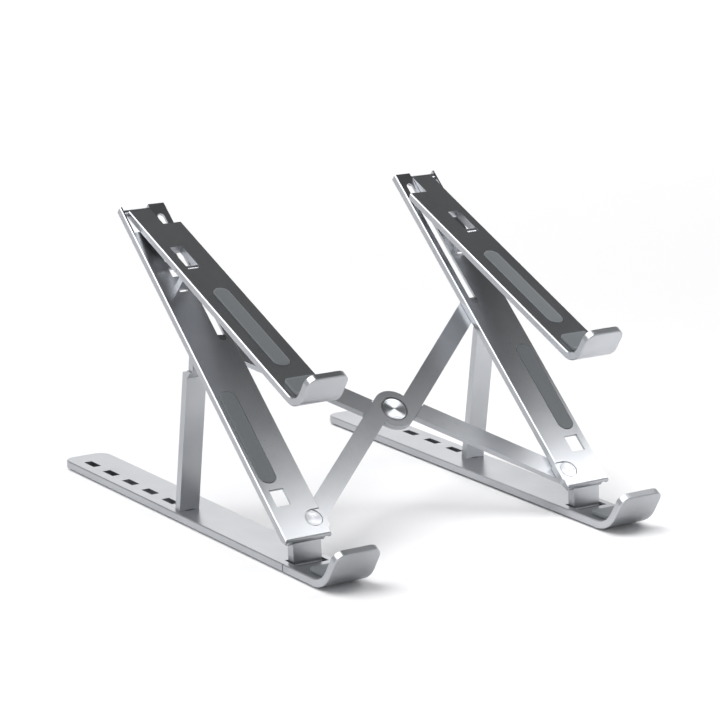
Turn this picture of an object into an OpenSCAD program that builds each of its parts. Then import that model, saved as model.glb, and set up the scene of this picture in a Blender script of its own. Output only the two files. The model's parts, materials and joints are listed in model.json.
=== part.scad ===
// Two-deck folding stand for a notebook computer, bent and milled from aluminium bar.
// Two base rails carry two sloping arms on short front links and notched rear legs.
// A flat pair of crossed bars ties the arms, and two hooked deck arms ride on top.
// X runs across the stand, Y to the rear and Z up. The stand rests on Z = 0.

/* [Overall] */
// Width over the two arms
stand_w = 240; // [200:1:300]
// Depth from the lip of the base hook to the rear end of the rail
stand_depth = 333; // [310:1:400]
// Slope of the lower arms
arm_slope = 41; // [38:0.5:43]
// Slope of the upper deck
deck_slope = 23; // [21:0.5:25]

/* [Base rails] */
// Width of a base rail and of the lower arm over it
rail_w = 32; // [30:0.5:40]
// Thickness of a base rail
rail_t = 5; // [4.8:0.1:7]
// Radius of the rail's rear corners
rail_corner_r = 8; // [3:0.5:12]
// Thickness of the grip pads under the rails
foot_t = 1; // [0.6:0.1:2]
// Width of a grip pad
foot_w = 20; // [12:0.5:26]
// Length of a rear grip pad
foot_len = 46; // [20:1:60]
// Length of a front grip pad
foot_front_len = 21; // [12:1:22]
// Number of open leg holes in a rail
hole_n = 5; // [3:1:5]
// Distance between leg holes
hole_pitch = 25.6; // [20:0.1:28]
// Width of a leg hole
hole_w = 5.6; // [5:0.1:7]
// Length of a leg hole
hole_len = 13.4; // [12:0.1:15]
// Distance from the rail's outer edge to the middle of a leg hole
hole_inset = 10.2; // [9.5:0.1:11]
// Distance from the rail's rear end to the middle of the last hole
hole_rear = 22.8; // [16:0.1:30]
// How far the leg's foot stands behind the next hole's place
foot_shift = 4.6; // [3.5:0.1:6]

/* [Hooks] */
// Inner radius of the base hook's bend
base_bend_r = 16.5; // [12:0.5:22]
// Angle through which the base hook is bent
base_bend = 60; // [50:1:75]
// Straight length of the base hook's lip
base_lip = 16; // [10:0.5:24]
// Inner radius of the deck hook's bend
deck_bend_r = 9.5; // [7:0.5:14]
// Angle of the deck hook's lip above the horizontal
deck_lip_angle = 58; // [45:1:70]
// Straight length of the deck hook's lip
deck_lip = 14.5; // [10:0.5:20]
// Radius of the lips' corners
lip_corner_r = 6.5; // [2:0.5:8]
// Bright chamfer along the edges of bars and arms
edge_chamfer = 0.6; // [0.3:0.1:1]
// Width of the soft pad in a hook
hook_pad_w = 20; // [14:0.5:24]
// Thickness of the soft pad in a hook
hook_pad_t = 2.2; // [1.5:0.1:3]
// Flat length of the soft pad behind a hook's bend
hook_pad_flat = 13; // [8:0.5:16]
// How far a hook pad stops short of the lip's edge
hook_pad_short = 4; // [2:0.5:8]

/* [Front links] */
// Distance from the bend of the base hook to the link's lower axis
link_setback = 32; // [30:0.5:40]
// Distance between the link's two axes
link_len = 15.5; // [14:0.1:20]
// Lean of the link towards the rear
link_lean = 5; // [0:0.5:10]
// Width of the link's plate
link_w = 19.6; // [14:0.2:20]
// Thickness of the link's plate
link_t = 6; // [4.6:0.1:6]
// Radius of the barrels at the link's ends
link_barrel_r = 3; // [2.6:0.1:3.1]
// Length of the slot in the rail for the link
link_slot_len = 14; // [12:0.5:18]

/* [Lower arms] */
// Depth of the arm's channel
arm_h = 4.8; // [4.6:0.1:6]
// Thickness of the arm's top plate
arm_plate_t = 1.8; // [1.6:0.1:2]
// Thickness of the arm's side walls
arm_wall_t = 1.6; // [1.4:0.1:2]
// Distance along the arm from its nose to the link's upper axis
link_eye_s = 3.4; // [3.2:0.1:4]
// Distance of that axis below the arm's top face
link_eye_drop = 5.2; // [5:0.1:6]
// Width of the finger window
window_w = 10.1; // [8:0.1:12]
// Length of the finger window
window_len = 12.2; // [9:0.1:14]
// Distance from the nose to the near end of the finger window
window_s = 24.4; // [22:0.1:28]
// Width of the soft strip on the arm
strip_w = 11.8; // [8:0.1:13]
// Length of the soft strip on the arm
strip_len = 69; // [50:1:76]
// Distance from the nose to the near end of the soft strip
strip_s = 41; // [38:0.5:44]
// Distance from the arm's outer edge to the middle of the soft strip
strip_inset = 8.8; // [8:0.1:10]
// Height of a soft strip above its seat
strip_t = 1.4; // [1:0.1:2]
// Depth of the seat for a soft strip
strip_seat = 0.8; // [0.5:0.1:1]

/* [Rear legs] */
// Distance along the arm from its nose to the leg's axis
leg_s = 146.4; // [140:0.5:152]
// Width of a leg
leg_w = 14; // [12:0.5:15]
// Thickness of a leg's body
leg_t = 5.4; // [4.5:0.1:5.6]
// How far the middle of the leg's body lies behind its axis
leg_offset = 6.4; // [6:0.1:7]
// Wall of the leg's channel
leg_wall_t = 1.7; // [1.4:0.1:2]
// Width of the leg's foot tab
tab_w = 4.8; // [4:0.1:5.4]
// Length of the foot tab along the hole
tab_len = 2.6; // [2:0.1:3]
// Depth of the foot tab below the rail's top face
tab_depth = 2.6; // [2:0.1:3.5]
// Room in front of the foot tab, for the swing as the leg lifts out
tab_room = 3.5; // [3.2:0.1:4]

/* [Crossed bars] */
// Width of a crossed bar
bar_w = 13; // [11:0.5:14]
// Thickness of a crossed bar
bar_t = 3.8; // [3.4:0.1:5]
// Sideways offset of each half of a bar from the middle pivot
bar_offset = 7.2; // [7.2:0.1:8]
// Distance along the arm from its nose to the bars' front pivots
pivot_s = 12.7; // [12.6:0.1:14]
// Distance from the arm's inner edge to the bars' pivots
pivot_inset = 6.9; // [6.8:0.1:7.4]
// Distance along the arm between the front pivots and the middle pivot
cross_rise = 68.2; // [60:0.2:69]
// Radius of the flush disc on a front pivot
disc_r = 5.3; // [4:0.1:5.5]
// Radius of the turned disc on the middle pivot
centre_disc_r = 8.7; // [6:0.1:9.5]

/* [Upper deck] */
// Width of a deck arm
deck_w = 28.5; // [26:0.5:30]
// Thickness of a deck arm
deck_t = 5; // [4.6:0.1:5]
// How far the deck arm's inner edge passes the lower arm's inner edge
deck_shift = 1; // [0:0.5:1.5]
// Length of the deck arm from its hinge to the hook's bend
deck_len = 202.8; // [160:1:205]
// Distance along the lower arm from its nose to the deck's hinge
hinge_s = 253; // [252.5:0.5:262]
// Distance of the deck's hinge below the lower arm's top face
hinge_drop = 2.4; // [2.4:0.1:2.6]
// Distance along the lower arm to the strut's foot
strut_s = 190; // [182:1:196]
// Distance between the strut's holes
strut_pitch = 12; // [10:0.5:13]
// Number of holes for the strut
strut_holes = 3; // [1:1:3]
// Width of the strut
strut_w = 8; // [6:0.5:9]
// Thickness of the strut
strut_t = 4.2; // [3.6:0.1:4.6]
// Distance from the deck arm's outer edge to the middle of the strut
strut_inset = 10.5; // [9:0.5:12]
// Depth of the strut's foot tab
strut_tab = 1.6; // [1.2:0.1:2]
// Length of the soft strip on a deck arm
deck_strip_len = 84; // [50:1:90]
// Distance from the deck's hinge to the near end of its soft strip
deck_strip_v = 92; // [90:1:100]

/* [Pins] */
// Radius of the link's, the leg's and the deck's pins
pin_r = 1.2; // [1:0.05:1.3]
// Radius of the strut's pin
strut_pin_r = 1; // [0.8:0.05:1.1]
// Radius of the crossed bars' pivot shafts
shaft_r = 2.4; // [2:0.1:2.6]
// Radial clearance of a running fit
fit = 0.05; // [0.03:0.01:0.08]
// Gap between faces that slide past each other
gap = 0.25; // [0.2:0.05:0.3]

/* [Hidden] */
$fn = 64;
ALUMINIUM = [0.78, 0.79, 0.81];
POLISHED = [0.88, 0.89, 0.9];
SILICONE = [0.36, 0.38, 0.39];
NYLON = [0.2, 0.2, 0.21];
// Far enough past a face for a clean cut
over = 1;
side_x = stand_w / 2;
inner_x = side_x - rail_w;
mid_x = side_x - rail_w / 2;
hole_x = side_x - hole_inset;
rail_top = foot_t + rail_t;
base_bend_out = base_bend_r + rail_t;
y_front = -stand_depth / 2;
y_rear = stand_depth / 2;
y_bend = y_front + base_bend_out * sin(base_bend) + base_lip * cos(base_bend);
rail_flat = y_rear - y_bend;
// Lower axis of the link
link_y = y_bend + link_setback;
link_z = foot_t + rail_t / 2;
// Upper axis of the link, and the arm's nose that hangs from it
eye_y = link_y + link_len * sin(link_lean);
eye_z = link_z + link_len * cos(link_lean);
nose_y = eye_y - link_eye_s * cos(arm_slope) - link_eye_drop * sin(arm_slope);
nose_z = eye_z - link_eye_s * sin(arm_slope) + link_eye_drop * cos(arm_slope);
nose_r = arm_plate_t;
lug_t = 2.6;
lug_r = 2.8;
// Leg's axis, foot and lean
leg_drop = arm_h / 2 + 0.5;
leg_y = nose_y + leg_s * cos(arm_slope) + leg_drop * sin(arm_slope);
leg_z = nose_z + leg_s * sin(arm_slope) - leg_drop * cos(arm_slope);
foot_y = y_rear - hole_rear - hole_n * hole_pitch + foot_shift;
tab_y = foot_y + leg_t / 2 - tab_len / 2;
leg_dy = foot_y - leg_y;
leg_dz = leg_z - rail_top;
leg_span = sqrt(leg_dy * leg_dy + leg_dz * leg_dz);
leg_lean = atan2(leg_dy, leg_dz) - asin(leg_offset / leg_span);
leg_eye_r = 2.1;
leg_neck_len = 17;
leg_pocket_top = 0.6;
// Crossed bars
pivot_x = inner_x + pivot_inset;
centre_s = pivot_s + cross_rise;
bar_reach = sqrt(pivot_x * pivot_x + cross_rise * cross_rise);
bar_angle = atan2(cross_rise, pivot_x) + asin(bar_offset / bar_reach);
bar_half = sqrt(bar_reach * bar_reach - bar_offset * bar_offset);
bar_top = -arm_h - gap;
bar_bottom = bar_top - bar_t;
lap_gap = 0.2;
lap_top = bar_top - bar_t / 2 + lap_gap / 2;
lap_bottom = bar_top - bar_t / 2 - lap_gap / 2;
boss_r = bar_offset + bar_w / 2;
bar_end_r = min(bar_w / 2, pivot_s - link_eye_s - link_barrel_r - 2 * gap);
lap_clear = 0.45;
head_t = 0.9;
seat_t = 1;
rivet_tail = 0.8;
closed_angle = 86;
slide_start_s = pivot_s + 2 * cross_rise;
slide_end_s = pivot_s + 2 * bar_reach * sin(closed_angle);
slide_pin_r = 2.2;
slide_w = 2 * slide_pin_r + 2 * gap;
// Upper deck
deck_out_x = inner_x - deck_shift + deck_w;
deck_in_x = inner_x - deck_shift;
deck_mid_x = (deck_in_x + deck_out_x) / 2;
deck_rel = arm_slope - deck_slope;
deck_bend = deck_slope + deck_lip_angle;
arm_len = hinge_s + arm_h / 2 + 1.2;
knuckle_x = deck_in_x + 13.1;
knuckle_clear = 17;
strut_x = deck_out_x - strut_inset;
strut_eye_h = -hinge_drop + (hinge_s - strut_s) * tan(deck_rel);
strut_eye_v = (hinge_s - strut_s) / cos(deck_rel);
strut_eye_r = 2.2;
strut_slot_len = strut_eye_h + strut_tab + 2;

// ---- frames -------------------------------------------------------------

// Everything is drawn for the right-hand side and mirrored for the left
module on_side(left) { mirror([left ? 1 : 0, 0, 0]) children(); }

// X, distance along the arm from its nose, and height above its top face
module in_arm() { translate([0, nose_y, nose_z]) rotate([arm_slope, 0, 0]) children(); }

// X, distance behind the deck's hinge, and height above its middle plane
module in_deck() {
    in_arm() translate([0, hinge_s, -hinge_drop]) rotate([-deck_rel, 0, 0]) children();
}

// X, distance behind the leg's axis, and height above it, along the leg
module in_leg() { translate([0, leg_y, leg_z]) rotate([leg_lean, 0, 0]) children(); }

// Extrudes an outline drawn in Y and Z from x0 to x1
module along_x(x0, x1) {
    translate([x0, 0, 0]) rotate([90, 0, 90]) linear_extrude(x1 - x0) children();
}

// A round rod along X from x0 to x1 at (y, z)
module rod_x(x0, x1, y, z, r) {
    translate([x0, y, z]) rotate([0, 90, 0]) cylinder(r = r, h = x1 - x0);
}

// ---- bent bar -----------------------------------------------------------

// Cross-section of a flat bar with chamfered edges, its outer face on y = 0
module bar_section(w, t, c) {
    polygon([[-w / 2 + c, 0], [w / 2 - c, 0], [w / 2, c], [w / 2, t - c],
        [w / 2 - c, t], [-w / 2 + c, t], [-w / 2, t - c], [-w / 2, c]]);
}

// A run of that bar from y = 0 towards the front
module bar_run(len, w, t, c) { rotate([90, 0, 0]) linear_extrude(len) bar_section(w, t, c); }

// A bar that runs to the rear from y = 0 and is bent up into a lip in front of it.
// Its outer face lies on z = 0, and r_in is the radius inside the bend. The lip starts
// a little inside the bend and is a hair thinner, so the two always merge cleanly.
module hooked_bar(flat, w, t, c, r_in, bend, lip) {
    r_out = r_in + t;
    translate([0, flat, 0]) bar_run(flat, w, t, c);
    translate([0, 0, r_out]) rotate([90, 0, 90]) rotate([0, 0, -90])
        rotate_extrude(angle = -bend, $fn = 128)
            translate([r_out, 0]) rotate([0, 0, 90]) bar_section(w, t, c);
    translate([0, 0, r_out]) rotate([-bend, 0, 0])
        translate([0, lip_lap, hair - r_out]) bar_run(lip + lip_lap, w - 2 * hair, t - 2 * hair, c);
}
hair = 0.02;
lip_lap = 0.3;

// A bar's rounded corner as a turned shape: chamfer c below and above
module corner_post(t, r, c) {
    rotate_extrude()
        polygon([[0, -hair], [r - c - hair, -hair], [r, c], [r, t - c],
            [r - c - hair, t + hair], [0, t + hair]]);
}

// What rounds off the two corners at an end of a bar and carries the chamfer c round
// them: the end is at y = 0
module corner_cuts(w, t, r, c) {
    for (side = [-1, 1])
        difference() {
            translate([side * (w / 2 - r / 2 + over / 2), -r / 2 + over / 2, t / 2])
                cube([r + over, r + over, t + 2 * over], center = true);
            translate([side * (w / 2 - r), -r, 0]) corner_post(t, r, c);
        }
    for (z = [0, t])
        translate([0, 0, z]) rotate([45, 0, 0])
            cube([w + 2 * over, c * sqrt(2), c * sqrt(2)], center = true);
}

// The same for a plain pad, with no chamfer
module pad_cuts(w, t, r) {
    for (side = [-1, 1])
        difference() {
            translate([side * (w / 2 - r / 2 + over / 2), -r / 2 + over / 2, t / 2])
                cube([r + over, r + over, t + 2 * over], center = true);
            translate([side * (w / 2 - r), -r, -2 * over]) cylinder(r = r, h = t + 4 * over);
        }
}

// The same cuts, placed at the lip of a hooked bar
module lip_cuts(w, t, r_in, bend, lip) {
    translate([0, 0, r_in + t]) rotate([-bend, 0, 0]) translate([0, -lip, -r_in - t])
        rotate([0, 0, 180]) corner_cuts(w, t, lip_corner_r, edge_chamfer);
}

// A soft pad that lies in a hook, on the bar's inner face
module hook_pad(bar_thick, r_in, bend, lip) {
    translate([0, 0, bar_thick])
        hooked_bar(hook_pad_flat, hook_pad_w, hook_pad_t, 0.4, r_in - hook_pad_t, bend,
            lip - hook_pad_short);
}

// ---- base rails ---------------------------------------------------------

module base_rail(left) {
    color(ALUMINIUM) on_side(left) difference() {
        translate([mid_x, y_bend, foot_t])
            hooked_bar(rail_flat, rail_w, rail_t, edge_chamfer, base_bend_r, base_bend, base_lip);
        translate([mid_x, y_rear, foot_t]) corner_cuts(rail_w, rail_t, rail_corner_r, edge_chamfer);
        translate([mid_x, y_bend, foot_t])
            lip_cuts(rail_w, rail_t, base_bend_r, base_bend, base_lip);
        for (i = [0 : hole_n - 1])
            translate([hole_x, y_rear - hole_rear - i * hole_pitch, foot_t + rail_t / 2])
                cube([hole_w, hole_len, rail_t + 2 * over], center = true);
        translate([hole_x - hole_w / 2, tab_y - tab_len / 2 - tab_room, foot_t - over])
            cube([hole_w, tab_room + tab_len + 2 * gap, rail_t + 2 * over]);
        translate([mid_x, link_y - link_slot_shift, link_z])
            cube([link_w + 2 * rail_slot_side, link_slot_len, rail_t + 2 * over], center = true);
        rod_x(link_pin_x0, link_pin_x1 + over, link_y, link_z, pin_r + fit);
        if (left) translate([side_x, link_y, rail_top - rail_t / 2])
            cube([2 * seam_depth, seam_w, rail_t + 2 * over], center = true);
    }
}
rail_slot_side = 1.2;
link_slot_shift = 1.7;
seam_depth = 0.8;
seam_w = 0.7;
link_pin_grip = 4;
link_pin_x0 = mid_x - link_w / 2 - rail_slot_side - link_pin_grip;
link_pin_x1 = side_x - seam_depth - over;

module base_hook_pad(left) {
    color(SILICONE) on_side(left) translate([mid_x, y_bend, foot_t])
        hook_pad(rail_t, base_bend_r, base_bend, base_lip);
}

// A grip pad from y = 0 to the rear, with rounded corners
module foot_pad(len) {
    difference() {
        translate([-foot_w / 2, 0, 0]) cube([foot_w, len, foot_t]);
        translate([0, len, 0]) pad_cuts(foot_w, foot_t, foot_corner_r);
        rotate([0, 0, 180]) pad_cuts(foot_w, foot_t, foot_corner_r);
    }
}
foot_corner_r = 4;

// The two grip pads under one rail
module base_front_pad(left) {
    color(SILICONE) on_side(left) translate([mid_x, y_bend, 0]) foot_pad(foot_front_len);
}

module base_rear_pad(left) {
    color(SILICONE) on_side(left)
        translate([mid_x, y_rear - rail_corner_r - foot_len, 0]) foot_pad(foot_len);
}

module link_base_pin(left) {
    color(POLISHED) on_side(left)
        rod_x(link_pin_x0 + gap, link_pin_x1, link_y, link_z, pin_r);
}

// ---- front links --------------------------------------------------------

module front_link(left) {
    color(ALUMINIUM) on_side(left) difference() {
        union() {
            translate([mid_x, link_y, link_z]) rotate([-link_lean, 0, 0])
                translate([0, 0, link_len / 2])
                    cube([link_w, link_t, link_len - link_barrel_r], center = true);
            rod_x(mid_x - link_w / 2, mid_x + link_w / 2, link_y, link_z, link_barrel_r);
            rod_x(mid_x - link_w / 2, mid_x + link_w / 2, eye_y, eye_z, link_barrel_r);
        }
        for (axis = [[link_y, link_z], [eye_y, eye_z]])
            rod_x(mid_x - link_w, mid_x + link_w, axis[0], axis[1], pin_r + fit);
    }
}

lug_in_x = mid_x - link_w / 2 - gap;
lug_out_x = mid_x + link_w / 2 + gap;

module link_top_pin(left) {
    color(POLISHED) on_side(left)
        rod_x(lug_in_x - lug_t, lug_out_x + lug_t, eye_y, eye_z, pin_r);
}

// ---- lower arms ---------------------------------------------------------

// Channel section of the arm in X and height, its top face on y = 0
module arm_section() {
    c = edge_chamfer;
    difference() {
        polygon([[inner_x, -arm_h], [side_x, -arm_h], [side_x, -c], [side_x - c, 0],
            [inner_x + c, 0], [inner_x, -c]]);
        translate([inner_x + arm_wall_t, -arm_h - over])
            square([rail_w - 2 * arm_wall_t, arm_h - arm_plate_t + over]);
    }
}

// Side view of the arm in distance and height, with a rounded nose
module arm_outline() {
    translate([nose_r, -nose_r]) circle(r = nose_r);
    polygon([[nose_r, 0], [arm_len, 0], [arm_len, -arm_h], [2 * nose_r, -arm_h],
        [0, -nose_r - 1], [0, -nose_r]]);
}

// One of the two lugs under the nose that carry the link's upper pin
module link_lug(x0) {
    lug_back = link_eye_s + 8;
    along_x(x0, x0 + lug_t)
        polygon([[link_eye_s - lug_r, -arm_plate_t + 0.2], [lug_back, -arm_plate_t + 0.2],
            [lug_back, -arm_h], [link_eye_s + lug_r, -arm_h],
            [link_eye_s + lug_r, -link_eye_drop], [link_eye_s - lug_r, -link_eye_drop]]);
    rod_x(x0, x0 + lug_t, link_eye_s, -link_eye_drop, lug_r);
}

// A rib under the plate that takes the inner end of a cross pin
module pin_rib(x1, s) {
    translate([x1 - rib_t, s - rib_len / 2, -arm_h]) cube([rib_t, rib_len, arm_h - 0.5]);
}
rib_t = 1.9;
rib_len = 7;
rivet_boss_r = 5.8;
bulge = 1.3;
bulge_s0 = 5.4;
bulge_s1 = pivot_s + disc_r + 0.2;
slit_w = 0.7;
slit_depth = 0.8;
disc_clear = 0.5;
leg_in_x = hole_x - leg_w / 2;
leg_out_x = hole_x + leg_w / 2;

module lower_arm(left) {
    color(ALUMINIUM) on_side(left) in_arm() difference() {
        union() {
            intersection() {
                translate([0, arm_len, 0]) rotate([90, 0, 0])
                    linear_extrude(arm_len) arm_section();
                along_x(inner_x - over, side_x + over) arm_outline();
            }
            link_lug(lug_in_x - lug_t);
            link_lug(lug_out_x);
            pin_rib(leg_in_x - gap, leg_s);
            pin_rib(knuckle_x - gap, hinge_s);
            translate([pivot_x, pivot_s, -arm_h]) cylinder(r = rivet_boss_r, h = arm_h - 0.5);
            translate([0, 0, -arm_h]) linear_extrude(arm_h)
                polygon([[inner_x + 0.5, bulge_s0 - bulge], [inner_x - bulge, bulge_s0 + bulge],
                    [inner_x - bulge, bulge_s1], [inner_x + 0.5, bulge_s1]]);
        }
        arm_top_cuts();
        arm_pin_bores();
    }
}

// Round-ended slot from y = 0 to the rear
module slide_slot(len, h) {
    translate([-slide_w / 2, 0, 0]) cube([slide_w, len, h]);
    for (y = [0, len]) translate([0, y, 0]) cylinder(r = slide_w / 2, h = h);
}

// Openings and seats in the arm's top plate
module arm_top_cuts() {
    translate([hole_x, window_s + window_len / 2, -arm_plate_t / 2])
        cube([window_w, window_len, arm_plate_t + 2 * over], center = true);
    translate([side_x - strip_inset, strip_s, -strip_seat])
        strip_shape(strip_len, strip_w, strip_seat + over);
    translate([pivot_x, pivot_s, -seat_t]) cylinder(r = disc_r + disc_clear, h = seat_t + over);
    translate([inner_x - bulge - over, bulge_s1, -slit_depth])
        cube([pivot_inset + bulge + over, slit_w, slit_depth + over]);
    translate([leg_in_x - gap, leg_s - leg_pocket_half, -arm_plate_t - over])
        cube([leg_w + 2 * gap, 2 * leg_pocket_half, arm_plate_t + over - leg_pocket_top]);
    for (i = [0 : strut_holes - 1])
        translate([strut_x, strut_s + i * strut_pitch, -arm_plate_t / 2])
            cube([hole_w, strut_hole_len, arm_plate_t + 2 * over], center = true);
    translate([pivot_x, slide_start_s, -arm_plate_t - over])
        slide_slot(slide_end_s - slide_start_s, arm_plate_t + 2 * over);
    translate([knuckle_x - gap, hinge_s - knuckle_clear, -arm_h - over])
        cube([side_x - arm_wall_t - knuckle_x + gap, knuckle_clear + 10, arm_h + 2 * over]);
}
strut_hole_len = 6.6;
leg_pocket_half = 3.2;

// Bores for the arm's cross pins and for the rivet
module arm_pin_bores() {
    rod_x(lug_in_x - lug_t - over, lug_out_x + lug_t + over, link_eye_s, -link_eye_drop,
        pin_r + fit);
    rod_x(leg_in_x - gap - rib_t - over, side_x + over, leg_s, -leg_drop, pin_r + fit);
    rod_x(knuckle_x - gap - rib_t - over, side_x + over, hinge_s, -hinge_drop, pin_r + fit);
    translate([pivot_x, pivot_s, -arm_h - over]) cylinder(r = shaft_r + fit, h = arm_h + over);
}

// A long soft strip with round ends, from y = 0 to the rear
module strip_shape(len, w, t) {
    translate([-w / 2, w / 2, 0]) cube([w, len - w, t]);
    for (y = [w / 2, len - w / 2]) translate([0, y, 0]) cylinder(r = w / 2, h = t);
}

module arm_strip(left) {
    color(SILICONE) on_side(left) in_arm()
        translate([side_x - strip_inset, strip_s + gap, -strip_seat])
            strip_shape(strip_len - 2 * gap, strip_w - 2 * gap, strip_t);
}

module leg_pin(left) {
    color(POLISHED) on_side(left) in_arm()
        rod_x(leg_in_x - gap - rib_t, side_x, leg_s, -leg_drop, pin_r);
}

module deck_hinge_pin(left) {
    color(POLISHED) on_side(left) in_arm()
        rod_x(knuckle_x - gap - rib_t, side_x, hinge_s, -hinge_drop, pin_r);
}

// Front pivot of a crossed bar: a flush disc, a shaft and a tail under the bar
module bar_rivet(left) {
    color(POLISHED) on_side(left) in_arm() translate([pivot_x, pivot_s, 0]) {
        translate([0, 0, -seat_t]) cylinder(r = disc_r, h = head_t);
        translate([0, 0, bar_bottom - rivet_tail]) cylinder(r = shaft_r, h = -bar_bottom);
        translate([0, 0, bar_bottom - rivet_tail]) cylinder(r = shaft_r + 1.4, h = rivet_tail);
    }
}

// ---- rear legs ----------------------------------------------------------

leg_front = leg_offset - leg_t / 2;
leg_back = leg_offset + leg_t / 2;
neck_front = -0.9;
neck_back = 4.2;

// Side view of a leg: an eye, a neck and a body that is set back behind the neck
module leg_outline() {
    circle(r = leg_eye_r);
    polygon([[neck_front, 0], [neck_front, -leg_neck_len + 2], [leg_front, -leg_neck_len - 4],
        [leg_front, -leg_span - 5], [leg_back, -leg_span - 5], [leg_back, -leg_neck_len - 2],
        [leg_back - 0.6, -leg_neck_len - 1.2], [neck_back, -leg_neck_len], [neck_back, -3],
        [leg_eye_r, 0]]);
}

module rear_leg(left) {
    color(ALUMINIUM) on_side(left) {
        difference() {
            in_leg() difference() {
                along_x(leg_in_x, leg_out_x) leg_outline();
                rod_x(leg_in_x - over, leg_out_x + over, 0, 0, pin_r + fit);
                translate([leg_in_x + leg_wall_t, leg_front + leg_wall_t, 12 - leg_span])
                    cube([leg_w - 2 * leg_wall_t, leg_t, leg_span - leg_neck_len - 18]);
                for (side = [-1, 1])
                    translate([hole_x + side * leg_w / 2, 0, -leg_neck_len / 2 + 1])
                        cube([2, 20, leg_neck_len], center = true);
            }
            translate([leg_in_x - over, foot_y - 30, rail_top - 30])
                cube([leg_w + 2 * over, 60, 30]);
        }
        translate([hole_x - tab_w / 2, tab_y - tab_len / 2, rail_top - tab_depth])
            cube([tab_w, tab_len, tab_depth + 0.5]);
    }
}

// ---- crossed bars -------------------------------------------------------

// Plan of one bar: X across and Y along the arm, the middle pivot at the origin.
// Its front half lies on the left of the middle, and its rear half on the right.
module bar_plan(grow) {
    circle(r = boss_r + grow);
    for (half = [0, 180]) rotate([0, 0, half + bar_angle]) {
        translate([0, -boss_r - grow]) square([bar_half, bar_w + 2 * grow]);
        translate([bar_half, -bar_offset]) circle(r = bar_end_r + grow);
    }
}

module bar_slab(z0, z1, grow) { translate([0, 0, z0]) linear_extrude(z1 - z0) bar_plan(grow); }

module at_centre() { in_arm() translate([0, centre_s, 0]) children(); }

// Places of the bar's two end pivots, from the middle pivot
module at_bar_ends() { for (side = [-1, 1]) translate([side * pivot_x, side * cross_rise, 0]) children(); }

module cross_bar_over() {
    color(ALUMINIUM) at_centre() difference() {
        bar_slab(bar_bottom, bar_top, 0);
        intersection() {
            mirror([1, 0, 0]) bar_slab(bar_bottom - over, lap_top, lap_clear);
            translate([0, 0, bar_bottom]) cylinder(r = 2 * boss_r, h = 2 * bar_t, center = true);
        }
        translate([0, 0, bar_top - seat_t]) cylinder(r = centre_disc_r + 0.3, h = seat_t + over);
        translate([0, 0, bar_bottom - over]) cylinder(r = shaft_r + fit, h = bar_t + over);
        at_bar_ends() translate([0, 0, bar_bottom - over])
            cylinder(r = shaft_r + fit, h = bar_t + 2 * over);
    }
}

module cross_bar_under() {
    color(ALUMINIUM) at_centre() mirror([1, 0, 0]) difference() {
        bar_slab(bar_bottom, bar_top, 0);
        intersection() {
            mirror([1, 0, 0]) bar_slab(lap_bottom, bar_top + over, lap_clear);
            translate([0, 0, bar_top]) cylinder(r = 2 * boss_r, h = 2 * bar_t, center = true);
        }
        translate([0, 0, bar_bottom - over]) cylinder(r = shaft_r + fit, h = bar_t + over);
        at_bar_ends() translate([0, 0, bar_bottom - over])
            cylinder(r = shaft_r + fit, h = bar_t + 2 * over);
    }
}

// Turned disc, shaft and tail of the middle pivot
module centre_rivet() {
    color(POLISHED) at_centre() {
        translate([0, 0, bar_top - seat_t]) cylinder(r = centre_disc_r, h = head_t);
        translate([0, 0, bar_bottom - rivet_tail - head_t])
            cylinder(r = shaft_r, h = bar_t + rivet_tail);
        translate([0, 0, bar_bottom - rivet_tail - head_t]) cylinder(r = shaft_r + 2, h = head_t);
    }
}

module centre_washer() {
    color(NYLON) at_centre() translate([0, 0, bar_bottom - rivet_tail + 0.05]) difference() {
        cylinder(r = shaft_r + 3.6, h = rivet_tail - 0.05);
        translate([0, 0, -over]) cylinder(r = shaft_r + fit, h = rivet_tail + 2 * over);
    }
}

// Pin at the rear end of a crossed bar that slides in the arm's long slot
module slide_rivet(left) {
    color(POLISHED) on_side(left) in_arm() translate([pivot_x, pivot_s + 2 * cross_rise, 0]) {
        translate([0, 0, bar_bottom - rivet_tail])
            cylinder(r = slide_pin_r, h = -bar_bottom + rivet_tail - 0.3);
        translate([0, 0, bar_bottom - rivet_tail]) cylinder(r = shaft_r + 1.4, h = rivet_tail);
    }
}

module slide_bush(left) {
    bush_r = 3.3;
    color(NYLON) on_side(left) in_arm()
        translate([pivot_x, pivot_s + 2 * cross_rise, bar_top]) difference() {
            cylinder(r = bush_r, h = arm_h - arm_plate_t);
            translate([0, 0, -over]) cylinder(r = slide_pin_r + fit, h = arm_h + over);
        }
}

// ---- upper deck ---------------------------------------------------------

module deck_arm(left) {
    color(ALUMINIUM) on_side(left) in_deck() difference() {
        union() {
            difference() {
                translate([deck_mid_x, -deck_len, -deck_t / 2])
                    hooked_bar(deck_len - 1.2, deck_w, deck_t, edge_chamfer, deck_bend_r,
                        deck_bend, deck_lip);
                translate([deck_in_x - over, -knuckle_clear - 2, -deck_t])
                    cube([knuckle_x - deck_in_x + over, knuckle_clear + 4, 2 * deck_t]);
                translate([deck_mid_x, -deck_len, -deck_t / 2])
                    lip_cuts(deck_w, deck_t, deck_bend_r, deck_bend, deck_lip);
            }
            rod_x(knuckle_x, side_x - arm_wall_t - gap, 0, 0, hinge_drop - 0.1);
        }
        rod_x(knuckle_x - over, side_x, 0, 0, pin_r + fit);
        translate([strut_x - strut_w / 2 - gap, -strut_eye_v - strut_eye_r - 1, -deck_t])
            cube([strut_w + 2 * gap, strut_slot_len + strut_eye_r + 1, 2 * deck_t]);
        rod_x(strut_x - strut_w / 2 - strut_grip, deck_out_x + over, -strut_eye_v, 0,
            strut_pin_r + fit);
        translate([deck_mid_x, -deck_strip_v - deck_strip_len, deck_t / 2 - strip_seat])
            strip_shape(deck_strip_len, strip_w, strip_seat + over);
    }
}
strut_grip = 4;

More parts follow.
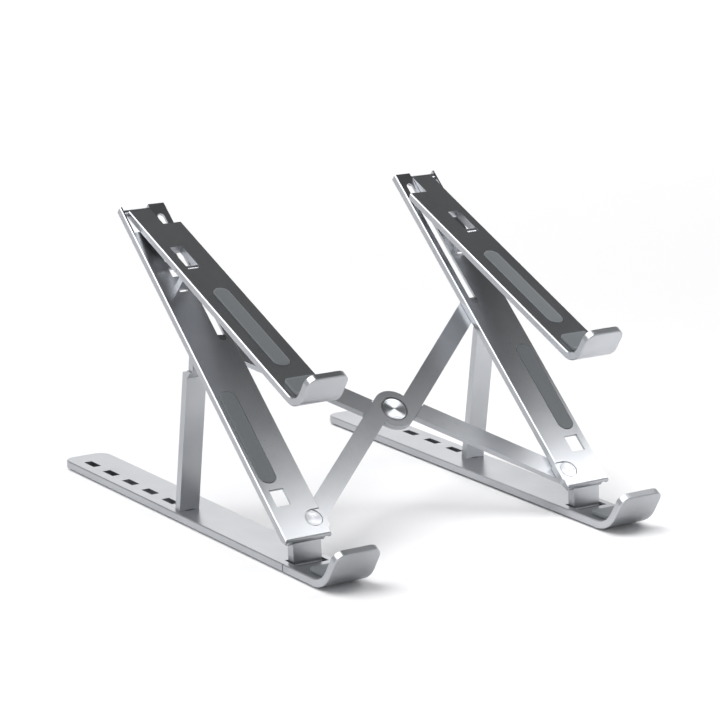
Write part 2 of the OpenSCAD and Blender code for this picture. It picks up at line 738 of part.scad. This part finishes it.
module deck_hook_pad(left) {
    color(SILICONE) on_side(left) in_deck() translate([deck_mid_x, -deck_len, -deck_t / 2])
        hook_pad(deck_t, deck_bend_r, deck_bend, deck_lip);
}

module deck_strip(left) {
    color(SILICONE) on_side(left) in_deck()
        translate([deck_mid_x, -deck_strip_v - deck_strip_len + gap, deck_t / 2 - strip_seat])
            strip_shape(deck_strip_len - 2 * gap, strip_w - 2 * gap, strip_t);
}

module strut_pin(left) {
    color(POLISHED) on_side(left) in_deck()
        rod_x(strut_x - strut_w / 2 - strut_grip + gap, deck_out_x - gap, -strut_eye_v, 0,
            strut_pin_r);
}

// Short strut that props the deck: an eye, a plate and a foot tab in the arm's hole
module deck_strut(left) {
    color(ALUMINIUM) on_side(left) in_arm() translate([0, strut_s, 0]) difference() {
        union() {
            rod_x(strut_x - strut_w / 2, strut_x + strut_w / 2, 0, strut_eye_h, strut_eye_r);
            translate([strut_x - strut_w / 2, -strut_t / 2, 0])
                cube([strut_w, strut_t, strut_eye_h]);
            translate([strut_x - tab_w / 2, -strut_t / 4, -strut_tab])
                cube([tab_w, strut_t / 2, strut_tab + 0.5]);
        }
        rod_x(strut_x - strut_w, strut_x + strut_w, 0, strut_eye_h, strut_pin_r + fit);
    }
}

base_rail(true);  // left_base_rail
base_hook_pad(true);  // left_base_hook_pad
base_front_pad(true);  // left_base_front_pad
base_rear_pad(true);  // left_base_rear_pad
link_base_pin(true);  // left_link_base_pin
front_link(true);  // left_front_link
link_top_pin(true);  // left_link_top_pin
lower_arm(true);  // left_lower_arm
arm_strip(true);  // left_arm_strip
rear_leg(true);  // left_rear_leg
leg_pin(true);  // left_leg_pin
bar_rivet(true);  // left_bar_rivet
deck_hinge_pin(true);  // left_deck_hinge_pin
deck_arm(true);  // left_deck_arm
deck_hook_pad(true);  // left_deck_hook_pad
deck_strip(true);  // left_deck_strip
strut_pin(true);  // left_strut_pin
deck_strut(true);  // left_deck_strut
slide_rivet(true);  // left_slide_rivet
slide_bush(true);  // left_slide_bush
base_rail(false);  // right_base_rail
base_hook_pad(false);  // right_base_hook_pad
base_front_pad(false);  // right_base_front_pad
base_rear_pad(false);  // right_base_rear_pad
link_base_pin(false);  // right_link_base_pin
front_link(false);  // right_front_link
link_top_pin(false);  // right_link_top_pin
lower_arm(false);  // right_lower_arm
arm_strip(false);  // right_arm_strip
rear_leg(false);  // right_rear_leg
leg_pin(false);  // right_leg_pin
bar_rivet(false);  // right_bar_rivet
deck_hinge_pin(false);  // right_deck_hinge_pin
deck_arm(false);  // right_deck_arm
deck_hook_pad(false);  // right_deck_hook_pad
deck_strip(false);  // right_deck_strip
strut_pin(false);  // right_strut_pin
deck_strut(false);  // right_deck_strut
slide_rivet(false);  // right_slide_rivet
slide_bush(false);  // right_slide_bush
cross_bar_over();
cross_bar_under();
centre_rivet();
centre_washer();
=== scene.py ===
# %% [markdown]
# # A folding two-deck stand in blasted aluminium
# The metal parts arrive ready-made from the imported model, in metres, with +Z up and the
# hooks at -Y. This lesson gives them their finishes, models the soft liners, strips and
# grip pads by hand, adds turned faces to the rivets, and lights the stand in a pale studio.

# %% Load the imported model
import bpy
import json
import math
from mathutils import Matrix, Vector


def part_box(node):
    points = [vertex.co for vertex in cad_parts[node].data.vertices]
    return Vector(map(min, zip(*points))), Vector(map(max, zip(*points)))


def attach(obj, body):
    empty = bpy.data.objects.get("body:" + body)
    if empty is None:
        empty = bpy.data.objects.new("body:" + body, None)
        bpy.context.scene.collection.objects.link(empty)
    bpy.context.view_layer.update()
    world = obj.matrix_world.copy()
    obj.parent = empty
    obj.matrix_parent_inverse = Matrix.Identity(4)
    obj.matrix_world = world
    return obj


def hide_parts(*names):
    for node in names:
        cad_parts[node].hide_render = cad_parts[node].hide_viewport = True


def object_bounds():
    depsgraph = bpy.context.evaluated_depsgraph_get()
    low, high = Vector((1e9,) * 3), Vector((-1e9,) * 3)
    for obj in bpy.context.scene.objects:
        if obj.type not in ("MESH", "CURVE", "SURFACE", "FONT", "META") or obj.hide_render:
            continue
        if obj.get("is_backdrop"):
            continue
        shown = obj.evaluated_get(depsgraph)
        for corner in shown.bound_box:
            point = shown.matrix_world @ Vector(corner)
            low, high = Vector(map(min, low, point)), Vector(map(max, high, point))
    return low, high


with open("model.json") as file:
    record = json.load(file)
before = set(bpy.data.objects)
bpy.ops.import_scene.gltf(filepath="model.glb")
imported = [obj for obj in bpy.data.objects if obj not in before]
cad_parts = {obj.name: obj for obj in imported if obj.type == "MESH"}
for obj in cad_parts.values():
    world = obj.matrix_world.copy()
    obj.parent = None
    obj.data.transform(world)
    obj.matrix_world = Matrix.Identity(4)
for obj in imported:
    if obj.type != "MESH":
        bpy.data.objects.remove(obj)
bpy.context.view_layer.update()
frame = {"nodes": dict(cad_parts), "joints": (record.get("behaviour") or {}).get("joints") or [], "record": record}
nodes = frame["nodes"]

# %% [markdown]
# ## The camera
# A long lens keeps the two rails nearly parallel, as in a catalogue view: the stand is seen
# from its front left, from a little above. The camera looks along one direction, so a
# quaternion that tracks that direction is simpler than three angles.

# %% Camera
EYE = Vector((-0.9885, -1.4975, 0.5318))
LOOK = Vector((0.5374, 0.8089, -0.2385))
lens = bpy.data.cameras.new("view_lens")
lens.lens = 146.0
lens.sensor_width = 36.0
lens.clip_end = 50.0
camera = bpy.data.objects.new("view", lens)
camera.location = EYE
camera.rotation_mode = "QUATERNION"
camera.rotation_quaternion = LOOK.to_track_quat("-Z", "Y")
bpy.context.scene.collection.objects.link(camera)
bpy.context.scene.camera = camera
print("camera at", [round(v, 3) for v in EYE], "with a", lens.lens, "mm lens")

# %% [markdown]
# ## Helpers
# A colour is written as the hex value a designer would pick, and one function turns it to
# the linear numbers that a shader works with. A second small function adds a node and sets
# its values and links in one go, which keeps each finish short enough to read.

# %% Colour and node helpers
def linear(hex_colour):
    """Turns an sRGB hex colour to linear red, green, blue and alpha."""
    parts = [int(hex_colour[i:i + 2], 16) / 255 for i in (1, 3, 5)]
    return [p / 12.92 if p <= 0.04045 else ((p + 0.055) / 1.055) ** 2.4 for p in parts] + [1.0]


def add(tree, kind, settings=None, links=None):
    """Adds a node; settings name its options or sockets, and links name what feeds a socket."""
    node = tree.nodes.new(kind)
    for key, value in (settings or {}).items():
        if key in node.inputs:
            node.inputs[key].default_value = value
        else:
            setattr(node, key, value)
    for key, source in (links or {}).items():
        tree.links.new(source, node.inputs[key])
    return node


def blank(name):
    """A new material with only a Principled shader and an output."""
    material = bpy.data.materials.new(name)
    material.use_nodes = True
    tree = material.node_tree
    tree.nodes.clear()
    shader = add(tree, "ShaderNodeBsdfPrincipled")
    add(tree, "ShaderNodeOutputMaterial", links={"Surface": shader.outputs["BSDF"]})
    return material, tree, shader


print("the satin grey reads as", [round(v, 3) for v in linear("#AEB0B4")])

# %% [markdown]
# ## Blasted, anodised aluminium
# The bars are cut from flat stock, bead-blasted and anodised clear. Blasting leaves a fine
# even grain that spreads reflections into a satin sheen, and anodising greys the metal a
# little. The grain is really about 0.1 mm, too fine to see, so it is drawn at 0.4 mm. A much
# larger, very faint cloud keeps long faces from looking printed.

# %% Satin aluminium
GRIT = 0.0004
CLOUD = 0.03


def blasted_aluminium():
    material, tree, shader = blank("blasted_anodised_aluminium")
    place = add(tree, "ShaderNodeTexCoord")
    grain = add(tree, "ShaderNodeTexNoise", {"Scale": 1 / GRIT, "Detail": 2.0, "Roughness": 0.6},
                {"Vector": place.outputs["Object"]})
    cloud = add(tree, "ShaderNodeTexNoise", {"Scale": 1 / CLOUD, "Detail": 2.0},
                {"Vector": place.outputs["Object"]})
    tone = add(tree, "ShaderNodeMapRange", {"From Min": 0.3, "From Max": 0.7},
               {"Value": cloud.outputs["Fac"]})
    colour = add(tree, "ShaderNodeMix", {"data_type": "RGBA"}, {"Factor": tone.outputs["Result"]})
    colour.inputs["A"].default_value = linear("#AEB0B4")
    colour.inputs["B"].default_value = linear("#B7B9BC")
    rough = add(tree, "ShaderNodeMapRange",
                {"From Min": 0.3, "From Max": 0.7, "To Min": 0.27, "To Max": 0.35},
                {"Value": grain.outputs["Fac"]})
    relief = add(tree, "ShaderNodeBump", {"Strength": 0.10, "Distance": 0.0001},
                 {"Height": grain.outputs["Fac"]})
    shader.inputs["Metallic"].default_value = 1.0
    tree.links.new(colour.outputs["Result"], shader.inputs["Base Color"])
    tree.links.new(rough.outputs["Result"], shader.inputs["Roughness"])
    tree.links.new(relief.outputs["Normal"], shader.inputs["Normal"])
    return material


satin = blasted_aluminium()
print("satin aluminium has", len(satin.node_tree.nodes), "nodes")

# %% [markdown]
# ## Turned aluminium and ground steel
# Rivet faces are faced off in a lathe after anodising, so they are brighter than the bars.
# Their rings are modelled as real grooves further on, and the finish itself only needs a
# low roughness. The small steel pins are centreless-ground: bright with a faint grain.

# %% Bright metals
def bright_metal(name, light, dark, rough_low, rough_high, grain_size):
    material, tree, shader = blank(name)
    place = add(tree, "ShaderNodeTexCoord")
    grain = add(tree, "ShaderNodeTexNoise", {"Scale": 1 / grain_size, "Detail": 3.0},
                {"Vector": place.outputs["Object"]})
    colour = add(tree, "ShaderNodeMix", {"data_type": "RGBA"}, {"Factor": grain.outputs["Fac"]})
    colour.inputs["A"].default_value = linear(dark)
    colour.inputs["B"].default_value = linear(light)
    rough = add(tree, "ShaderNodeMapRange", {"To Min": rough_low, "To Max": rough_high},
                {"Value": grain.outputs["Fac"]})
    shader.inputs["Metallic"].default_value = 1.0
    tree.links.new(colour.outputs["Result"], shader.inputs["Base Color"])
    tree.links.new(rough.outputs["Result"], shader.inputs["Roughness"])
    return material


turned = bright_metal("turned_bright_aluminium", "#B4B6B9", "#A6A8AC", 0.20, 0.26, 0.0015)
ground = bright_metal("ground_steel", "#C6C7C8", "#B2B4B6", 0.20, 0.32, 0.0008)
print("bright metals:", turned.name, ground.name)

# %% [markdown]
# ## Silicone and nylon
# The liners and strips are moulded silicone: a soft matt grey with a slight skin that lifts
# to a pale sheen at a glancing angle. A little surface waviness of about 1.5 mm stands for
# the mould's texture. The bushes are glass-filled nylon, darker and drier.

# %% Soft materials
def moulded(name, light, dark, rough, pebble, depth, sheen):
    material, tree, shader = blank(name)
    place = add(tree, "ShaderNodeTexCoord")
    skin = add(tree, "ShaderNodeTexNoise", {"Scale": 1 / pebble, "Detail": 3.0, "Roughness": 0.55},
               {"Vector": place.outputs["Object"]})
    colour = add(tree, "ShaderNodeMix", {"data_type": "RGBA"}, {"Factor": skin.outputs["Fac"]})
    colour.inputs["A"].default_value = linear(dark)
    colour.inputs["B"].default_value = linear(light)
    spread = add(tree, "ShaderNodeMapRange", {"To Min": rough - 0.06, "To Max": rough + 0.06},
                 {"Value": skin.outputs["Fac"]})
    relief = add(tree, "ShaderNodeBump", {"Strength": 0.25, "Distance": depth},
                 {"Height": skin.outputs["Fac"]})
    tree.links.new(colour.outputs["Result"], shader.inputs["Base Color"])
    tree.links.new(spread.outputs["Result"], shader.inputs["Roughness"])
    tree.links.new(relief.outputs["Normal"], shader.inputs["Normal"])
    shader.inputs["IOR"].default_value = 1.43
    shader.inputs["Sheen Weight"].default_value = sheen
    shader.inputs["Sheen Roughness"].default_value = 0.5
    return material


silicone = moulded("moulded_silicone", "#63686B", "#55595C", 0.50, 0.0012, 0.00008, 0.15)
nylon = moulded("glass_filled_nylon", "#2C2C2E", "#232325", 0.62, 0.0006, 0.00005, 0.0)
print("soft materials:", silicone.name, nylon.name)

# %% [markdown]
# ## Finishes on the ready-made pieces
# Every piece names its material slot in the record. Each slot has one finish here, so a
# loop over the slots dresses the whole frame without touching a single shape.

# %% Dress the metal
FINISH = {"aluminium_satin": satin, "aluminium_bright": turned, "steel_pin": ground,
          "silicone": silicone, "nylon": nylon}
for part in frame["record"]["subparts"]:
    piece = nodes[part["node"]]
    piece.data.materials.clear()
    piece.data.materials.append(FINISH[part["material_slot"]])

# %% [markdown]
# ## Working in edit mode from code
# By hand, an edge or a face is clicked. Here it is picked by its place or its direction.
# Everything is deselected first, because an operator works on all that is selected. A
# finished piece has its place baked into its mesh, with its origin at the world's.

# %% Edit helpers
def fresh():
    """Leaves edit mode and deselects every object."""
    if bpy.context.object and bpy.context.object.mode != "OBJECT":
        bpy.ops.object.mode_set(mode="OBJECT")
    bpy.ops.object.select_all(action="DESELECT")


def pick(piece, kind, test):
    """In edit mode, selects the vertices, edges or faces that pass the test."""
    bpy.ops.object.mode_set(mode="EDIT")
    bpy.ops.mesh.select_mode(type=kind)
    bpy.ops.mesh.select_all(action="DESELECT")
    bpy.ops.object.mode_set(mode="OBJECT")
    mesh = piece.data
    items = {"VERT": mesh.vertices, "EDGE": mesh.edges, "FACE": mesh.polygons}[kind]
    count = 0
    for item in items:
        if kind == "VERT":
            where, way = item.co, None
        elif kind == "EDGE":
            a, b = (mesh.vertices[i].co for i in item.vertices)
            where, way = (a + b) / 2, (b - a).normalized()
        else:
            where, way = item.center, item.normal
        item.select = bool(test(where, way))
        count += item.select
    bpy.ops.object.mode_set(mode="EDIT")
    return count


def finish_piece(piece, name, place, material, body, stands_for, soft_edge, parts=3):
    """Rounds the edges, bakes the place into the mesh, and hands the piece to its body."""
    bpy.ops.object.mode_set(mode="OBJECT")
    bpy.ops.object.transform_apply(location=True, rotation=True, scale=True)
    bevel = piece.modifiers.new("edges", "BEVEL")
    bevel.width = soft_edge
    bevel.segments = parts
    bevel.limit_method = "ANGLE"
    bevel.angle_limit = math.radians(40)
    bpy.ops.object.modifier_apply(modifier="edges")
    bpy.ops.object.shade_smooth_by_angle(angle=math.radians(35))
    piece.data.transform(place)
    piece.name = name
    piece.data.materials.clear()
    piece.data.materials.append(material)
    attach(piece, body)
    if stands_for:
        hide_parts(stands_for)
    print(name, "has", len(piece.data.polygons), "faces")
    return piece


SIDES = ("left", "right")
mm = 0.001
print("helpers ready for the", " and ".join(SIDES), "sides")

# %% [markdown]
# ## Hook liners
# A liner is a moulded strip that lies in the bend of a hook and protects the edge of what
# rests there. It could be a bent plane with thickness, but a spin follows how it sits: one
# end face is turned about the bend's axis, then drawn out straight at both ends. Its plan
# corners are rounded first, and all its edges after.

# %% Liner by spin
LINER_CORNER = 2.6 * mm
LINER_EDGE = 0.5 * mm


def hook_liner(name, place, body, stands_for, width, thick, flat, radius, bend, lip):
    fresh()
    bpy.ops.mesh.primitive_plane_add(size=1.0, rotation=(math.pi / 2, 0, 0))
    piece = bpy.context.object
    piece.scale = (width, thick, 1.0)
    piece.location = (0, 0, thick / 2)
    bpy.ops.object.transform_apply(location=True, rotation=True, scale=True)
    bpy.ops.object.mode_set(mode="EDIT")
    bpy.ops.mesh.select_all(action="SELECT")
    # In a session with no window, spin turns by the left-hand rule
    bpy.ops.mesh.spin(steps=14, angle=bend, center=(0, 0, radius), axis=(1, 0, 0))
    draw = (0, -math.cos(bend) * lip, math.sin(bend) * lip)
    bpy.ops.mesh.extrude_region_move(TRANSFORM_OT_translate={"value": draw})
    pick(piece, "FACE", lambda c, n: abs(c.y) < 1e-6 and abs(n.y) > 0.99)
    bpy.ops.mesh.extrude_region_move(TRANSFORM_OT_translate={"value": (0, flat, 0)})
    bpy.ops.mesh.select_all(action="SELECT")
    bpy.ops.mesh.remove_doubles(threshold=1e-6)
    bpy.ops.mesh.normals_make_consistent(inside=False)
    tip_y = -radius * math.sin(bend) - math.cos(bend) * lip

    def is_corner(c, d):
        on_side = abs(d.x) < 0.01 and abs(abs(c.x) - width / 2) < 1e-6
        at_tip = abs(d.y * math.cos(bend) - d.z * math.sin(bend)) < 0.02 and c.y < tip_y + thick
        return on_side and (c.y > flat - 1e-5 or at_tip)

    corners = pick(piece, "EDGE", is_corner)
    bpy.ops.mesh.bevel(offset=LINER_CORNER, segments=6, affect="EDGES")
    print("rounded", corners, "corners")
    piece = finish_piece(piece, name, place, silicone, body, stands_for, LINER_EDGE)
    return piece or piece


# %% [markdown]
# ## Where the liners lie
# The base liners lie flat on the rails, so their place comes straight from the packed
# solid's box. The deck is tilted, so its liners are placed in the deck's own frame: the
# hinge at the rear is the origin, and the slope turns everything about X.

# %% Place the liners
# A bend's radius is to the liner's outer face, and its lip is the straight run after it
THICK = 2.2 * mm
LINER_WIDTH = 20 * mm
LINER_FLAT = 13 * mm
BASE_RADIUS, BASE_BEND, BASE_LIP = 16.5 * mm, math.radians(60), 12 * mm
DECK_RADIUS, DECK_BEND, DECK_LIP = 9.5 * mm, math.radians(81), 10.5 * mm
DECK_SLOPE = math.radians(23)
DECK_LENGTH, DECK_THICK = 202.8 * mm, 5 * mm
hinge = next(Vector(j["pos_m"]) for j in frame["joints"] if j["name"] == "deck_raise")
for side in SIDES:
    low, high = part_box(side + "_base_hook_pad")
    place = Matrix.Translation(((low.x + high.x) / 2, high.y - LINER_FLAT, low.z))
    hook_liner(side + "_base_liner", place, side + "_base", side + "_base_hook_pad",
               LINER_WIDTH, THICK, LINER_FLAT, BASE_RADIUS, BASE_BEND, BASE_LIP)
    low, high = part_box(side + "_deck_hook_pad")
    at_hinge = Matrix.Translation(((low.x + high.x) / 2, hinge.y, hinge.z))
    down = Matrix.Translation((0, -DECK_LENGTH, DECK_THICK / 2))
    place = at_hinge @ Matrix.Rotation(DECK_SLOPE, 4, "X") @ down
    hook_liner(side + "_deck_liner", place, side + "_deck", side + "_deck_hook_pad",
               LINER_WIDTH, THICK, LINER_FLAT, DECK_RADIUS, DECK_BEND, DECK_LIP)

# %% [markdown]
# ## Soft strips
# Each arm has a long round-ended strip set into a shallow seat. It starts as a filled circle
# whose rear half is slid back to the strip's length, is drawn up to its height, and is then
# inset and lifted a little, which gives the low crown that catches the light.

# %% Strip from a stretched circle
CROWN = 0.35 * mm
STRIP_EDGE = 0.25 * mm


def soft_strip(name, place, body, stands_for, width, length, height):
    fresh()
    bpy.ops.mesh.primitive_circle_add(vertices=48, radius=width / 2, fill_type="NGON",
                                      location=(0, width / 2, 0))
    piece = bpy.context.object
    bpy.ops.object.transform_apply(location=True, rotation=True, scale=True)
    pick(piece, "VERT", lambda c, d: c.y > width / 2 + 1e-6)
    bpy.ops.transform.translate(value=(0, length - width, 0))
    bpy.ops.mesh.select_all(action="SELECT")
    bpy.ops.mesh.extrude_region_move(TRANSFORM_OT_translate={"value": (0, 0, height - CROWN)})
    bpy.ops.mesh.inset(thickness=1.1 * mm, depth=0)
    bpy.ops.transform.translate(value=(0, 0, CROWN * 0.7))
    bpy.ops.mesh.inset(thickness=2.0 * mm, depth=0)
    bpy.ops.transform.translate(value=(0, 0, CROWN * 0.3))
    bpy.ops.mesh.select_all(action="SELECT")
    bpy.ops.mesh.normals_make_consistent(inside=False)
    piece = finish_piece(piece, name, place, silicone, body, stands_for,
                         STRIP_EDGE, 2)
    return piece or piece


# %% Place the strips
STRIP_HEIGHT, STRIP_SEAT, GAP = 1.4 * mm, 0.8 * mm, 0.25 * mm
STRIP_WIDTH = 11.8 * mm - 2 * GAP
ARM_SLOPE = math.radians(41)
ARM_STRIP = 69 * mm - 2 * GAP
DECK_STRIP = 84 * mm - 2 * GAP
DECK_STRIP_FROM_HINGE = 176 * mm - GAP
for side in SIDES:
    low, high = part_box(side + "_arm_strip")
    # The strip's lower front corner is the lowest point of its solid
    foot = Vector(((low.x + high.x) / 2, low.y + STRIP_HEIGHT * math.sin(ARM_SLOPE), low.z))
    place = Matrix.Translation(foot) @ Matrix.Rotation(ARM_SLOPE, 4, "X")
    soft_strip(side + "_arm_grip_strip", place, side + "_arm", side + "_arm_strip",
               STRIP_WIDTH, ARM_STRIP, STRIP_HEIGHT)
    low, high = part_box(side + "_deck_strip")
    at_hinge = Matrix.Translation(((low.x + high.x) / 2, hinge.y, hinge.z))
    down = Matrix.Translation((0, -DECK_STRIP_FROM_HINGE, DECK_THICK / 2 - STRIP_SEAT))
    place = at_hinge @ Matrix.Rotation(DECK_SLOPE, 4, "X") @ down
    soft_strip(side + "_deck_grip_strip", place, side + "_deck", side + "_deck_strip",
               STRIP_WIDTH, DECK_STRIP, STRIP_HEIGHT)

# %% [markdown]
# ## Grip pads under the rails
# The rails stand on thin silicone pads. From below, such a pad shows a rounded outline and a
# few cross grooves that let it grip. A cube is cut across by bisecting planes, and every
# other band is pressed in from underneath.

# %% Ribbed grip pad
PAD_CORNER = 4 * mm
PLAIN_END = 6 * mm
BAND = 2 * mm
GROOVE = 0.3 * mm
PAD_EDGE = 0.12 * mm


def grip_pad(name, low, high, body, stands_for):
    fresh()
    middle = (low + high) / 2
    size = high - low
    bpy.ops.mesh.primitive_cube_add(size=1.0, location=(0, 0, 0))
    piece = bpy.context.object
    piece.scale = size
    bpy.ops.object.transform_apply(location=True, rotation=True, scale=True)
    pick(piece, "EDGE", lambda c, d: abs(d.z) > 0.99)
    bpy.ops.mesh.bevel(offset=PAD_CORNER, segments=5, affect="EDGES")
    inner = size.y - 2 * PLAIN_END
    bands = max(3, int(inner / BAND) | 1)
    for i in range(bands + 1):
        bpy.ops.mesh.select_all(action="SELECT")
        at = -inner / 2 + inner * i / bands
        bpy.ops.mesh.bisect(plane_co=(0, at, 0), plane_no=(0, 1, 0))
    step = inner / bands
    pick(piece, "FACE", lambda c, n: n.z < -0.9 and abs(c.y) < inner / 2
         and int((c.y + inner / 2) / step) % 2 == 0)
    bpy.ops.mesh.inset(thickness=GROOVE, depth=-GROOVE, use_individual=True)
    return finish_piece(piece, name, Matrix.Translation(middle), silicone, body,
                        stands_for, PAD_EDGE, 2)


# %% Place the grip pads
for side in SIDES:
    for place_name in ("front", "rear"):
        stands_for = f"{side}_base_{place_name}_pad"
        low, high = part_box(stands_for)
        pad = grip_pad(f"{side}_{place_name}_grip_pad", low, high, side + "_base", stands_for)

# %% [markdown]
# ## Turned rivet faces
# The wide head at the crossing shows the fans of light that a facing cut leaves. Painted
# rings would not catch light, so the grooves are modelled: a saw-tooth line is drawn out
# from the middle and spun once round the rivet's axis. A tool leaves rings about 0.1 mm
# apart, too fine to show, so they are drawn at about 1 mm.

# %% Grooved disc by spin
RIM_DROP = 0.02 * mm


def turned_face(name, centre, axis, radius, pitch, depth, body):
    fresh()
    bpy.ops.mesh.primitive_plane_add(size=1.0)
    piece = bpy.context.object
    bpy.ops.object.mode_set(mode="EDIT")
    bpy.ops.mesh.select_mode(type="VERT")
    bpy.ops.mesh.select_all(action="SELECT")
    bpy.ops.mesh.merge(type="CENTER")
    rings = int(radius / pitch)
    for i in range(2 * rings):
        rise = depth if i % 2 == 0 else -depth
        sink = -RIM_DROP if i >= 2 * rings - 2 else 0
        step = (pitch / 2, 0, rise + sink)
        bpy.ops.mesh.extrude_region_move(TRANSFORM_OT_translate={"value": step})
    bpy.ops.mesh.select_all(action="SELECT")
    bpy.ops.mesh.spin(steps=72, angle=2 * math.pi, center=(0, 0, 0), axis=(0, 0, 1))
    bpy.ops.mesh.select_all(action="SELECT")
    bpy.ops.mesh.remove_doubles(threshold=1e-7)
    bpy.ops.mesh.normals_make_consistent(inside=False)
    bpy.ops.object.mode_set(mode="OBJECT")
    if sum(p.normal.z * p.area for p in piece.data.polygons) < 0:
        piece.data.flip_normals()
    turn = Vector((0, 0, 1)).rotation_difference(axis).to_matrix().to_4x4()
    piece.data.transform(Matrix.Translation(centre) @ turn)
    piece.name = name
    piece.data.materials.append(turned)
    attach(piece, body)
    print(name, "has", len(piece.data.polygons), "faces and", rings, "rings")
    return piece


# %% Place the turned faces
# The rivets stand square to the arms, and their joints' points lie PIVOT_BELOW under the
# arms' top face. LIFT keeps a turned face clear of the rivet's own.
PIVOT_BELOW = 7 * mm
CENTRE_HEAD_BELOW = 5.15 * mm
ARM_HEAD_BELOW = 0.1 * mm
LIFT = 0.01 * mm
spots = {j["name"]: Vector(j["pos_m"]) for j in frame["joints"]}
axes = {j["name"]: Vector(j["axis"]) for j in frame["joints"]}
arm_normal = axes["width_fold"].normalized()
centre_top = spots["cross_pivot"] + arm_normal * (PIVOT_BELOW - CENTRE_HEAD_BELOW + LIFT)
turned_face("centre_turned_face", centre_top, arm_normal, 8.3 * mm, 1.15 * mm, 0.13 * mm,
            "bar_over")
for joint, body in (("width_fold", "left_arm"), ("right_bar_pivot", "right_arm")):
    top = spots[joint] + arm_normal * (PIVOT_BELOW - ARM_HEAD_BELOW + LIFT)
    turned_face(body + "_disc_face", top, arm_normal, 5.0 * mm, 1.0 * mm, 0.04 * mm, body)

# %% [markdown]
# ## Floor and light
# A pale seamless floor and large soft sources suit satin metal, which shows its shape by
# what it mirrors. A narrow softbox close in front, on the right, is what the sloping arms
# mirror near their lower ends, so they fade darker towards their tops. A wide silk
# overhead, made with a sun lamp of a large angle, lights the floor evenly to the horizon.

# %% Floor
fresh()
bpy.ops.mesh.primitive_plane_add(size=16.0, location=(2.0, 3.0, -0.0002))
floor = bpy.context.object
floor.name = "floor"
bpy.ops.object.transform_apply(location=True, rotation=True, scale=True)
paper, tree, shader = blank("seamless_paper")
place = add(tree, "ShaderNodeTexCoord")
tooth = add(tree, "ShaderNodeTexNoise", {"Scale": 400.0, "Detail": 2.0},
            {"Vector": place.outputs["Object"]})
fibre = add(tree, "ShaderNodeBump", {"Strength": 0.02, "Distance": 0.0002},
            {"Height": tooth.outputs["Fac"]})
tree.links.new(fibre.outputs["Normal"], shader.inputs["Normal"])
shader.inputs["Base Color"].default_value = linear("#F4F4F5")
shader.inputs["Roughness"].default_value = 0.9
shader.inputs["Specular IOR Level"].default_value = 0.1
floor.data.materials.append(paper)
floor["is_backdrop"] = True
print("floor laid")

# %% Softboxes
def softbox(name, where, target, width, height, power):
    light = bpy.data.lights.new(name, "AREA")
    light.shape = "RECTANGLE"
    light.size, light.size_y = width, height
    light.energy = power
    holder = bpy.data.objects.new(name, light)
    holder.location = where
    holder.rotation_mode = "QUATERNION"
    back = (Vector(where) - Vector(target)).normalized()
    wide = (Vector((1, 0, 0)) - back * back.x).normalized()
    tall = back.cross(wide)
    holder.rotation_quaternion = Matrix((wide, tall, back)).transposed().to_quaternion()
    holder.visible_camera = False
    bpy.context.scene.collection.objects.link(holder)
    return holder


softbox("near_box", (0.235, -0.225, 0.335), (0, -0.135, 0.020), 0.42, 0.10, 0.72)
softbox("left_box", (-1.8, -0.6, 1.0), (0, 0, 0.1), 1.2, 1.6, 5.0)
softbox("rear_box", (0.8, 2.4, 1.3), (0, 0, 0.1), 2.4, 1.2, 10.0)
print("softboxes hung")

# %% Overhead silk
overhead = bpy.data.lights.new("overhead_silk", "SUN")
overhead.energy = 2.8
overhead.angle = 1.0
silk = bpy.data.objects.new("overhead_silk", overhead)
silk.rotation_mode = "QUATERNION"
silk.rotation_quaternion = Vector((-0.5, 0.2, 1.0)).to_track_quat("Z", "Y")
bpy.context.scene.collection.objects.link(silk)

# %% [markdown]
# ## The room around
# Satin metal mirrors the room as well as the lamps. The walls are pale near the horizon,
# where the rails look, and the ceiling is dark, where the decks and bars look, so the
# colour goes by height alone.

# %% Studio walls and ceiling
WALLS = ((0.0, (0.80, 0.805, 0.815)), (0.30, (0.72, 0.72, 0.7272)),
         (0.58, (0.13, 0.13, 0.1313)), (1.0, (0.05, 0.05, 0.053)))
world = bpy.data.worlds.new("studio")
world.use_nodes = True
bpy.context.scene.world = world
sky = world.node_tree
backdrop = sky.nodes["Background"]
compass = add(sky, "ShaderNodeTexCoord")
split = add(sky, "ShaderNodeSeparateXYZ", links={"Vector": compass.outputs["Object"]})
ramp = add(sky, "ShaderNodeValToRGB", links={"Fac": split.outputs["Z"]})
stops = ramp.color_ramp.elements
while len(stops) < len(WALLS):
    stops.new(0.5)
for stop, (height, tone) in zip(stops, WALLS):
    stop.position = height
    stop.color = (*tone, 1)
sky.links.new(ramp.outputs["Color"], backdrop.inputs["Color"])
backdrop.inputs["Strength"].default_value = 0.9
bpy.context.scene.view_settings.view_transform = "Standard"
print("room tones:", [tuple(round(v, 2) for v in stop.color[:3]) for stop in stops])

# %% Sizes and finish
low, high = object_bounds()
print("visual box", [round(float(b - a) * 1000, 1) for a, b in zip(low, high)], "mm")
